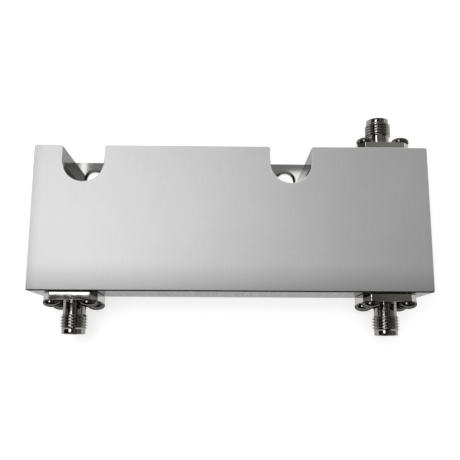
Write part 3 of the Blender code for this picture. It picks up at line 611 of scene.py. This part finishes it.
def make_jack(name, matrix):
    """Square flange with rounded edges, joined to the turned barrel."""
    half = FLANGE_HALF
    short = half - FLANGE_CHAMFER
    outline = [(half, -short), (half, short), (short, half), (-short, half), (-half, short),
               (-half, -short), (-short, -half), (short, -half)]
    item = flat_solid(name, outline, SEAT_GAP, FLANGE_TOP)
    bevel_rims(item, FLANGE_EDGE, FLANGE_EDGE, FLANGE_EDGE)
    middle = (INSULATOR_RADIUS + NECK_RADIUS) / 2
    cutters = [cylinder(middle, -CUT_THROUGH, FLANGE_TOP + CUT_THROUGH, ROUND_STEPS)]
    for x, y in flange_places():
        cutters.append(cylinder(FLANGE_HOLE_RADIUS, -CUT_THROUGH, FLANGE_TOP + CUT_THROUGH,
                                SCREW_STEPS, x, y))
    combine(item, cutters, "DIFFERENCE")
    combine(item, [make_barrel()], "UNION")
    return placed(item, matrix)


def make_insulator(name, matrix):
    """Bead of a jack with a bore for the contact and softly broken edges."""
    outer = INSULATOR_RADIUS - FIT_GAP
    inner = CONTACT_RADIUS + FIT_GAP
    edge = FIT_GAP
    profile = [(inner, INSULATOR_FRONT - edge), (inner + edge, INSULATOR_FRONT),
               (outer - edge, INSULATOR_FRONT), (outer, INSULATOR_FRONT - edge),
               (outer, -PORT_WALL), (inner, -PORT_WALL)]
    return placed(lathe(name, profile, ROUND_STEPS, closed=True), matrix)


def make_contact(name, matrix):
    """Slotted socket, round pin and flat tab."""
    edge = CONTACT_EDGE
    front = SOCKET_FRONT
    tip = -PORT_WALL - PIN_REACH
    profile = [(0, front - SOCKET_DEPTH), (SOCKET_RADIUS, front - SOCKET_DEPTH),
               (SOCKET_RADIUS, front - edge / 2), (SOCKET_RADIUS + edge / 2, front),
               (CONTACT_RADIUS - edge, front), (CONTACT_RADIUS - edge / 4, front - edge / 4),
               (CONTACT_RADIUS, front - edge), (CONTACT_RADIUS, tip), (0, tip)]
    item = lathe(name, profile, SCREW_STEPS)
    long = CONTACT_RADIUS * 2
    short = SLOT_WIDTH / 2
    slots = [box((-x, -y, front - SLOT_DEPTH), (x, y, front + CUT_THROUGH))
             for x, y in ((long, short), (short, long))]
    combine(item, slots, "DIFFERENCE")
    tab = box((-TAB_WIDTH / 2, -TAB_THICKNESS / 2, tip - TAB_LENGTH),
              (TAB_WIDTH / 2, TAB_THICKNESS / 2, tip + PIN_REACH / 2))
    combine(item, [tab], "UNION")
    return placed(item, matrix)


def cross_recess(top):
    """Tapered cross that is cut into a head whose face is at a height."""
    arm = RECESS_ARM
    span = RECESS_SPAN
    quarter = [(span, -arm), (span, arm), (arm, arm)]
    points = []
    for turn in range(4):
        for x, y in quarter:
            point = Vector((x, y))
            point.rotate(Matrix.Rotation(math.pi / 2 * turn, 2))
            points.append(point)
    item = flat_solid("recess", points, top - RECESS_DEPTH, top + CUT_THROUGH)
    for vertex in item.data.vertices:
        if vertex.co.z < top:
            vertex.co.x *= RECESS_TAPER
            vertex.co.y *= RECESS_TAPER
    return item


def pan_screw():
    """Pan head screw with its seat at height zero and its shank below."""
    edge = FIT_GAP
    dome = PAN_HEIGHT - PAN_SIDE
    steps = SMALL_ARC_STEPS * 2
    profile = [(0, PAN_HEIGHT)]
    for step in range(1, steps + 1):
        angle = math.pi / 2 * (1 - step / steps)
        profile.append((PAN_RADIUS * math.cos(angle), PAN_SIDE + dome * math.sin(angle)))
    profile += [(PAN_RADIUS, edge), (PAN_RADIUS - edge, 0), (PAN_SHANK_RADIUS, 0),
                (PAN_SHANK_RADIUS, edge - PAN_SHANK_LENGTH),
                (PAN_SHANK_RADIUS - edge, -PAN_SHANK_LENGTH), (0, -PAN_SHANK_LENGTH)]
    return combine(lathe("pan_screw", profile, SCREW_STEPS), [cross_recess(PAN_HEIGHT)],
                   "DIFFERENCE")


def sink_screw():
    """Countersunk screw with the face of its head at height zero."""
    edge = FIT_GAP
    low = -SINK_HEIGHT - SINK_SHANK_LENGTH
    profile = [(0, 0), (SINK_RADIUS - edge, 0), (SINK_RADIUS, -edge / 2),
               (SINK_SHANK_RADIUS, -SINK_HEIGHT), (SINK_SHANK_RADIUS, low), (0, low)]
    return combine(lathe("sink_screw", profile, SCREW_STEPS), [cross_recess(0)], "DIFFERENCE")


def feed(links, slot, value):
    """Give a node's input a plain value, or link it to another node's output."""
    if isinstance(value, bpy.types.NodeSocket):
        links.new(value, slot)
    else:
        slot.default_value = value


def math_node(nodes, links, operation, *values):
    """Result of a math node."""
    node = nodes.new("ShaderNodeMath")
    node.operation = operation
    for slot, value in zip(node.inputs, values):
        feed(links, slot, value)
    return node.outputs[0]


def mix_node(nodes, links, kind, share, one, two, way="MIX"):
    """Mix of two numbers or two colours; a share of 1 gives the second."""
    node = nodes.new("ShaderNodeMix")
    node.data_type = kind
    node.blend_type = way
    first, second, result = MIX_SOCKETS[kind]
    for slot, value in ((0, share), (first, one), (second, two)):
        feed(links, node.inputs[slot], value)
    return node.outputs[result]


class Shader:
    """Small helper that builds one procedural Principled material."""

    def __init__(self, name, metallic, roughness, colour):
        self.material = bpy.data.materials.new(name)
        self.material.use_nodes = True
        self.nodes = self.material.node_tree.nodes
        self.links = self.material.node_tree.links
        self.shader = self.nodes["Principled BSDF"]
        self.shader.inputs["Metallic"].default_value = metallic
        self.shader.inputs["Roughness"].default_value = roughness
        self.shader.inputs["Base Color"].default_value = (*colour, 1)
        self.colour = colour
        self.roughness = roughness
        self.place = self.nodes.new("ShaderNodeTexCoord").outputs["Object"]

    def noise(self, scale, stretch=(1, 1, 1), detail=3.0):
        """Noise over the surface; the stretch multiplies the scale along each axis."""
        mapping = self.nodes.new("ShaderNodeMapping")
        mapping.inputs["Scale"].default_value = [scale * share for share in stretch]
        self.links.new(self.place, mapping.inputs["Vector"])
        noise = self.nodes.new("ShaderNodeTexNoise")
        noise.inputs["Scale"].default_value = 1.0
        noise.inputs["Detail"].default_value = detail
        noise.inputs["Roughness"].default_value = NOISE_ROUGHNESS
        self.links.new(mapping.outputs["Vector"], noise.inputs["Vector"])
        return noise.outputs["Fac"]

    def ranged(self, value, low, high, from_low=0.3, from_high=0.7):
        """A value spread from its usual range to another one."""
        spread = self.nodes.new("ShaderNodeMapRange")
        spread.inputs["From Min"].default_value = from_low
        spread.inputs["From Max"].default_value = from_high
        spread.inputs["To Min"].default_value = low
        spread.inputs["To Max"].default_value = high
        self.links.new(value, spread.inputs["Value"])
        return spread.outputs["Result"]

    def blend(self, one, two, share):
        """Two values mixed; the share is the second one's."""
        return mix_node(self.nodes, self.links, "FLOAT", share, one, two)

    def dim_edges(self, level):
        """Weaker mirror images where the surface is seen at a flat angle."""
        self.shader.inputs["Specular Tint"].default_value = (level, level, level, 1)

    def vary_roughness(self, value, swing):
        """Roughness that moves with a value."""
        self.links.new(self.ranged(value, self.roughness - swing, self.roughness + swing),
                       self.shader.inputs["Roughness"])

    def vary_colour(self, value, dark):
        """Colour that falls to a share of itself where the value is low."""
        shade = (*[part * dark for part in self.colour], 1)
        colour = mix_node(self.nodes, self.links, "RGBA", self.ranged(value, 0, 1), shade,
                          (*self.colour, 1))
        self.links.new(colour, self.shader.inputs["Base Color"])

    def tone(self, axis, edge, reach, dark):
        """Painted shade: colour that falls to a share of itself towards an edge of the piece.
        """
        split = self.nodes.new("ShaderNodeSeparateXYZ")
        self.links.new(self.place, split.inputs[0])
        share = self.ranged(split.outputs[axis], 0, 1, edge, edge + reach)
        soft = math_node(self.nodes, self.links, "POWER", share, PAINTED_SHADE_CURVE)
        scale = self.nodes.new("ShaderNodeVectorMath")
        scale.operation = "SCALE"
        socket = self.shader.inputs["Base Color"]
        self.links.new(socket.links[0].from_socket, scale.inputs[0])
        self.links.new(self.ranged(soft, dark, 1, 0, 1), scale.inputs["Scale"])
        self.links.new(scale.outputs[0], socket)

    def bump(self, value, depth):
        """Relief of a depth in metres."""
        bump = self.nodes.new("ShaderNodeBump")
        bump.inputs["Distance"].default_value = depth
        bump.inputs["Strength"].default_value = 1.0
        self.links.new(value, bump.inputs["Height"])
        self.links.new(bump.outputs["Normal"], self.shader.inputs["Normal"])


def satin_plating():
    """Finely blasted plated aluminium, soft grain along Y, painted shade at the lower and left
    edges.
    """
    made = Shader("satin_plating", metallic=0.9, roughness=0.54, colour=(0.705, 0.707, 0.71))
    grain = made.noise(5200, detail=2)
    brushed = made.noise(2600, stretch=(1, 0.05, 1), detail=2)
    cloudy = made.noise(45)
    both = made.blend(grain, brushed, 0.2)
    made.vary_colour(made.blend(both, cloudy, 0.3), dark=0.84)
    # Painted shade: the face darkens towards its lower edge and towards its left end
    made.tone("Y", -BODY_HEIGHT / 2, reach=6.5 * MM, dark=0.6)
    made.tone("X", -BODY_WIDTH / 2, reach=2.5 * MM, dark=0.82)
    made.vary_roughness(both, swing=0.05)
    made.bump(both, depth=0.0015 * MM)
    return made.material


def milled_wall_painted_shade():
    """Walls of the notches, with the fine upright marks of the cutter; their dark base colour
    is painted shade.
    """
    # Painted shade: the walls are much darker than the plating of the face
    made = Shader("milled_wall_painted_shade", metallic=1.0, roughness=0.18, colour=(0.3, 0.3, 0.297))
    made.dim_edges(0.55)
    marks = made.noise(3000, stretch=(1, 1, 0.04))
    made.vary_roughness(marks, swing=0.06)
    made.vary_colour(marks, dark=0.88)
    made.bump(marks, depth=0.003 * MM)
    return made.material


def bright_edge():
    """Broken front edge of the housing, cut after the blasting."""
    made = Shader("bright_edge", metallic=1.0, roughness=0.1, colour=(0.78, 0.78, 0.775))
    nicks = made.noise(1800, detail=4)
    made.vary_roughness(nicks, swing=0.04)
    made.vary_colour(nicks, dark=0.85)
    made.bump(nicks, depth=0.002 * MM)
    return made.material


def polished_plate():
    """Bright rolled plate of the cover, with faint scratches along X."""
    made = Shader("polished_plate", metallic=1.0, roughness=0.05, colour=(0.56, 0.56, 0.55))
    scratches = made.noise(2200, stretch=(0.04, 1, 1), detail=4)
    patches = made.noise(120)
    made.vary_roughness(made.blend(scratches, patches, 0.4), swing=0.02)
    made.vary_colour(scratches, dark=0.92)
    made.bump(scratches, depth=0.0003 * MM)
    return made.material


def turned_steel():
    """Passivated steel of the jacks with turning lines round their axes."""
    made = Shader("turned_steel", metallic=1.0, roughness=0.06, colour=(0.31, 0.302, 0.29))
    made.dim_edges(0.8)
    lines = made.noise(5200, stretch=(0.02, 1, 0.02))
    patches = made.noise(420)
    both = made.blend(lines, patches, 0.35)
    made.vary_roughness(both, swing=0.03)
    made.vary_colour(both, dark=0.82)
    made.bump(lines, depth=0.0009 * MM)
    return made.material


def flange_steel():
    """Sides of the square flanges, a little coarser than the turned parts."""
    made = Shader("flange_steel", metallic=1.0, roughness=0.05, colour=(0.45, 0.437, 0.416))
    marks = made.noise(2600, stretch=(1, 1, 0.3), detail=4)
    patches = made.noise(700)
    both = made.blend(marks, patches, 0.4)
    made.vary_roughness(both, swing=0.02)
    made.vary_colour(both, dark=0.8)
    made.bump(both, depth=0.0006 * MM)
    return made.material


def screw_steel(name, colour):
    """Polished steel of the screws, with small marks."""
    made = Shader(name, metallic=1.0, roughness=0.1, colour=colour)
    made.dim_edges(0.35)
    marks = made.noise(2400, detail=5)
    made.vary_roughness(marks, swing=0.05)
    made.vary_colour(marks, dark=0.85)
    made.bump(marks, depth=0.002 * MM)
    return made.material


def white_ptfe(name, colour):
    """Waxy white plastic."""
    made = Shader(name, metallic=0.0, roughness=0.42, colour=colour)
    cut = made.noise(3200, stretch=(1, 0.06, 1))
    cloudy = made.noise(260)
    made.vary_colour(made.blend(cut, cloudy, 0.5), dark=0.93)
    made.vary_roughness(cut, swing=0.06)
    made.bump(cut, depth=0.003 * MM)
    made.shader.inputs["Subsurface Weight"].default_value = PLASTIC_GLOW
    made.shader.inputs["Subsurface Radius"].default_value = [PLASTIC_GLOW_REACH] * 3
    return made.material


def plated(name, colour, roughness, scale, stretch=(1, 1, 1)):
    """Plated or bare metal of the small inner pieces."""
    made = Shader(name, metallic=1.0, roughness=roughness, colour=colour)
    marks = made.noise(scale, stretch, detail=4)
    patches = made.noise(scale / 12)
    both = made.blend(marks, patches, 0.4)
    made.vary_roughness(both, swing=roughness * 0.35)
    made.vary_colour(both, dark=0.85)
    made.bump(marks, depth=0.0015 * MM)
    return made.material


def dull(name, colour, scale):
    """Board or ceramic with a fine mottled surface."""
    made = Shader(name, metallic=0.0, roughness=0.55, colour=colour)
    weave = made.noise(scale)
    made.vary_colour(weave, dark=0.8)
    made.vary_roughness(weave, swing=0.08)
    made.bump(weave, depth=0.004 * MM)
    return made.material


def finish(item, materials, nodes):
    """Give a piece its materials, shading and body, and hide the nodes that it stands for."""
    item.data.materials.clear()
    for material in materials:
        item.data.materials.append(material)
    item.data.shade_smooth()
    item.data.set_sharp_from_angle(angle=SMOOTH_ANGLE)
    weighted = item.modifiers.new("even_normals", "WEIGHTED_NORMAL")
    weighted.keep_sharp = True
    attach(item, "root")
    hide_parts(*nodes)


def mark_housing(item):
    """Milled walls get the second material, and the broken front edge the third."""
    for face in item.data.polygons:
        tilt = abs(face.normal.z)
        if tilt < WALL_TILT:
            face.material_index = 1
        elif tilt < FRONT_TILT and face.center.z > BODY_DEPTH - LOWER_EDGE:
            face.material_index = 2


def mark_flange(item, matrix):
    """The flat sides and the faces of the flange get the second material."""
    inward = matrix.inverted()
    turn = inward.to_3x3()
    for face in item.data.polygons:
        place = inward @ face.center
        normal = turn @ face.normal
        square = max(abs(place.x), abs(place.y)) > FLANGE_HALF - FLANGE_CHAMFER
        if place.z < FLANGE_TOP + TINY and (square or abs(normal.z) > FLANGE_TILT):
            face.material_index = 1


def paint_nodes(materials):
    """Better materials on the nodes that stay."""
    for name, material in materials.items():
        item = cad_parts[name]
        for slot in item.material_slots:
            slot.link = "OBJECT"
            slot.material = material


def copy_screw(pattern, name, matrix):
    """A copy of a screw, moved to its place."""
    item = bpy.data.objects.new(name, pattern.data.copy())
    bpy.context.scene.collection.objects.link(item)
    return placed(item, matrix)


def build_body():
    """Housing and cover."""
    housing = make_housing()
    finish(housing, [satin_plating(), milled_wall_painted_shade(), bright_edge()], ["housing"])
    mark_housing(housing)
    finish(make_cover(), [polished_plate()], ["rear_cover"])


def build_jacks():
    """The three jacks, each with its bead, contact and four screws."""
    steels = [turned_steel(), flange_steel()]
    # Painted shade: the pan heads get a darker copy of the screw steel, for the dark
    # surroundings that they mirror
    pan_screw_shaded_steel = screw_steel("painted_shade_screw_steel", (0.14, 0.137, 0.131))
    ptfe = white_ptfe("ptfe_bead", (0.86, 0.85, 0.82))
    gold = plated("gold_contact", (0.9, 0.67, 0.3), roughness=0.16, scale=2600,
                  stretch=(1, 0.1, 1))
    pan = pan_screw()
    for port, x, direction in PORTS:
        matrix = port_frame(x, direction)
        piece = port + "_jack_"
        node = port + "_connector_"
        jack = make_jack(piece + "body", matrix)
        finish(jack, steels, [node + "body"])
        mark_flange(jack, matrix)
        finish(make_insulator(piece + "bead", matrix), [ptfe], [node + "insulator"])
        finish(make_contact(piece + "contact", matrix), [gold], [node + "contact"])
        for number, (place_x, place_y) in enumerate(flange_places(), start=1):
            spin = Matrix.Rotation(number * PAN_SPIN + x / PORT_X, 4, "Z")
            move = Matrix.Translation((place_x, place_y, PAN_SEAT))
            item = copy_screw(pan, f"{piece}screw_{number}", matrix @ move @ spin)
            finish(item, [pan_screw_shaded_steel], [f"{node}screw_{number}"])
    bpy.data.objects.remove(pan, do_unlink=True)


def build_cover_screws(material):
    """The countersunk screws of the cover, seen from the back."""
    sink = sink_screw()
    flip = Matrix.Rotation(math.pi, 4, "X")
    for number, (x, y, _) in enumerate(screw_places("cover_screw", COVER_SCREWS), start=1):
        spin = Matrix.Rotation(number * COVER_SPIN, 4, "Z")
        move = Matrix.Translation((x, y, SINK_RECESS))
        item = copy_screw(sink, f"cover_fixing_{number}", move @ spin @ flip)
        finish(item, [material], [f"cover_screw_{number}"])
    bpy.data.objects.remove(sink, do_unlink=True)


def paint_inner_nodes(steel):
    """Materials of the closed-in pieces, which keep the model's shapes."""
    board = white_ptfe("ptfe_sheet", (0.84, 0.83, 0.79))
    copper = plated("strip_copper", (0.83, 0.45, 0.31), roughness=0.28, scale=1800,
                    stretch=(0.1, 1, 1))
    inner = {
        "pressure_plate": plated("bare_aluminium", (0.7, 0.71, 0.72), roughness=0.34,
                                 scale=1500, stretch=(0.06, 1, 1)),
        "lower_dielectric_board": board,
        "upper_dielectric_board": board,
        "centre_board": dull("laminate", (0.72, 0.68, 0.52), scale=1400),
        "through_line": copper,
        "coupled_line": copper,
        "termination_pad": copper,
        "termination_resistor": dull("black_ceramic", (0.035, 0.035, 0.037), scale=2600),
        "termination_block": plated("brass_block", (0.78, 0.6, 0.3), roughness=0.3, scale=1700),
    }
    for number in range(1, PLATE_SCREWS + 1):
        inner[f"pressure_plate_screw_{number}"] = steel
    paint_nodes(inner)


def build():
    """All pieces that stand for nodes, and the finish of the nodes that stay."""
    steel = screw_steel("screw_steel", (0.34, 0.335, 0.325))
    build_body()
    build_jacks()
    build_cover_screws(steel)
    paint_inner_nodes(steel)


def make_camera():
    """Camera of the photograph, which looks down on the front face."""
    data = bpy.data.cameras.new("photo_camera")
    data.lens = CAMERA_LENS
    data.sensor_width = CAMERA_SENSOR
    data.clip_start = CAMERA_NEAR
    data.clip_end = CAMERA_FAR
    item = bpy.data.objects.new("photo_camera", data)
    bpy.context.scene.collection.objects.link(item)
    turn = Matrix((CAMERA_RIGHT, CAMERA_UP, CAMERA_BACK)).transposed().to_4x4()
    item.matrix_world = Matrix.Translation(CAMERA_PLACE) @ turn
    bpy.context.scene.camera = item


def seen_rays(nodes, links, glossy):
    """One for camera and transmission rays, the given value for glossy rays, else nought."""
    path = nodes.new("ShaderNodeLightPath")
    share = math_node(nodes, links, "MULTIPLY", path.outputs["Is Glossy Ray"], glossy)
    for kind in ("Is Camera Ray", "Is Transmission Ray"):
        share = math_node(nodes, links, "MAXIMUM", share, path.outputs[kind])
    return share


def make_floor():
    """Pale floor; white to the eye and in the metal, and it keeps the shadow."""
    bm = bmesh.new()
    bmesh.ops.create_grid(bm, x_segments=4, y_segments=4, size=FLOOR_HALF)
    item = link("studio_floor", bm)
    item.location.z = -FLOOR_DROP
    material = bpy.data.materials.new("studio_floor")
    material.use_nodes = True
    nodes = material.node_tree.nodes
    links = material.node_tree.links
    nodes.clear()
    lit = nodes.new("ShaderNodeBsdfDiffuse")
    lit.inputs["Color"].default_value = (FLOOR_LIT, FLOOR_LIT, FLOOR_LIT, 1)
    glow = nodes.new("ShaderNodeEmission")
    strength = math_node(nodes, links, "MULTIPLY", seen_rays(nodes, links, 1.0), FLOOR_GLOW)
    links.new(strength, glow.inputs["Strength"])
    both = nodes.new("ShaderNodeAddShader")
    links.new(lit.outputs[0], both.inputs[0])
    links.new(glow.outputs[0], both.inputs[1])
    out = nodes.new("ShaderNodeOutputMaterial")
    links.new(both.outputs[0], out.inputs["Surface"])
    item.data.materials.append(material)


def angle_node(nodes, links, across, up):
    """Angle from the zenith in degrees, in the plane of two directions."""
    turn = math_node(nodes, links, "ARCTAN2", across, up)
    return math_node(nodes, links, "DEGREES", turn)


def ramp_node(nodes, links, value, stops, low, high):
    """Brightness that follows a value between two limits through some stops."""
    spread = nodes.new("ShaderNodeMapRange")
    spread.inputs["From Min"].default_value = low
    spread.inputs["From Max"].default_value = high
    links.new(value, spread.inputs["Value"])
    ramp = nodes.new("ShaderNodeValToRGB")
    elements = ramp.color_ramp.elements
    while len(elements) > 1:
        elements.remove(elements[-1])
    for index, (place, level) in enumerate(stops):
        share = (place - low) / (high - low)
        element = elements[0] if index == 0 else elements.new(share)
        element.position = share
        element.color = (level, level, level, 1)
    links.new(spread.outputs["Result"], ramp.inputs["Fac"])
    return ramp.outputs["Color"]


def room_colour(nodes, links, behind, side, fore):
    """Colour of the room by its angles: dark above, to the left and in front."""
    front = ramp_node(nodes, links, fore, ROOM_FRONT_SHARE, -90, 0)
    level = ramp_node(nodes, links, side, ROOM_ACROSS, -180, 180)
    for share, target in ((behind, ROOM_BEHIND), (front, ROOM_FRONT)):
        level = mix_node(nodes, links, "RGBA", share, level, (target, target, target, 1))
    return mix_node(nodes, links, "RGBA", 1.0, level, (*ROOM_TINT, 1), "MULTIPLY")


def make_room():
    """Room that the metal mirrors; the eye sees it plain and pale, as the metal does behind."""
    world = bpy.data.worlds.new("studio_room")
    bpy.context.scene.world = world
    world.use_nodes = True
    nodes = world.node_tree.nodes
    links = world.node_tree.links
    nodes.clear()
    place = nodes.new("ShaderNodeTexCoord")
    split = nodes.new("ShaderNodeSeparateXYZ")
    links.new(place.outputs["Generated"], split.inputs[0])
    side = angle_node(nodes, links, split.outputs["X"], split.outputs["Z"])
    fore = angle_node(nodes, links, split.outputs["Y"], split.outputs["Z"])
    behind = ramp_node(nodes, links, fore, ROOM_BEHIND_SHARE, 0, 90)
    room = nodes.new("ShaderNodeBackground")
    links.new(room_colour(nodes, links, behind, side, fore), room.inputs["Color"])
    seen = nodes.new("ShaderNodeBackground")
    seen.inputs["Color"].default_value = (1, 1, 1, 1)
    seen.inputs["Strength"].default_value = ROOM_SEEN
    pick = nodes.new("ShaderNodeMixShader")
    links.new(seen_rays(nodes, links, behind), pick.inputs[0])
    links.new(room.outputs[0], pick.inputs[1])
    links.new(seen.outputs[0], pick.inputs[2])
    out = nodes.new("ShaderNodeOutputWorld")
    links.new(pick.outputs[0], out.inputs["Surface"])


def soft_lamp(name, place, aim, size, radiance, colour=(1, 1, 1)):
    """Rectangular softbox that faces a point; its size is given across and along Y."""
    data = bpy.data.lights.new(name, "AREA")
    data.shape = "RECTANGLE"
    wide, long = size
    data.size = wide
    data.size_y = long
    data.energy = radiance * math.pi * wide * long
    data.color = colour
    item = bpy.data.objects.new(name, data)
    bpy.context.scene.collection.objects.link(item)
    back = (Vector(place) - Vector(aim)).normalized()
    side = Vector((0, 1, 0)).cross(back).normalized()
    turn = Matrix((side, back.cross(side), back)).transposed().to_4x4()
    item.matrix_world = Matrix.Translation(place) @ turn
    item.visible_camera = False
    return item


def make_lights():
    """Softboxes and dim cards overhead, a weaker softbox on the right, and an even fill."""
    for name, low, high, radiance in SOFTBOXES:
        middle = ((Vector(low) + Vector(high)) / 2).to_3d() * MM
        place = middle + Vector((0, 0, SOFTBOX_HEIGHT))
        size = [(end - start) * MM for start, end in zip(low, high)]
        soft_lamp(name, place, middle, size, radiance)
    soft_lamp("right_softbox", RIGHT_SOFTBOX_PLACE, RIGHT_SOFTBOX_AIM, RIGHT_SOFTBOX_SIZE,
              RIGHT_SOFTBOX_RADIANCE, RIGHT_SOFTBOX_COLOUR)
    fill = soft_lamp("overhead_fill", (0, 0, FILL_HEIGHT), (0, 0, 0), FILL_SIZE, FILL_RADIANCE)
    fill.visible_glossy = False


build()
make_camera()
make_floor()
make_room()
make_lights()
bpy.context.scene.view_settings.view_transform = "Standard"
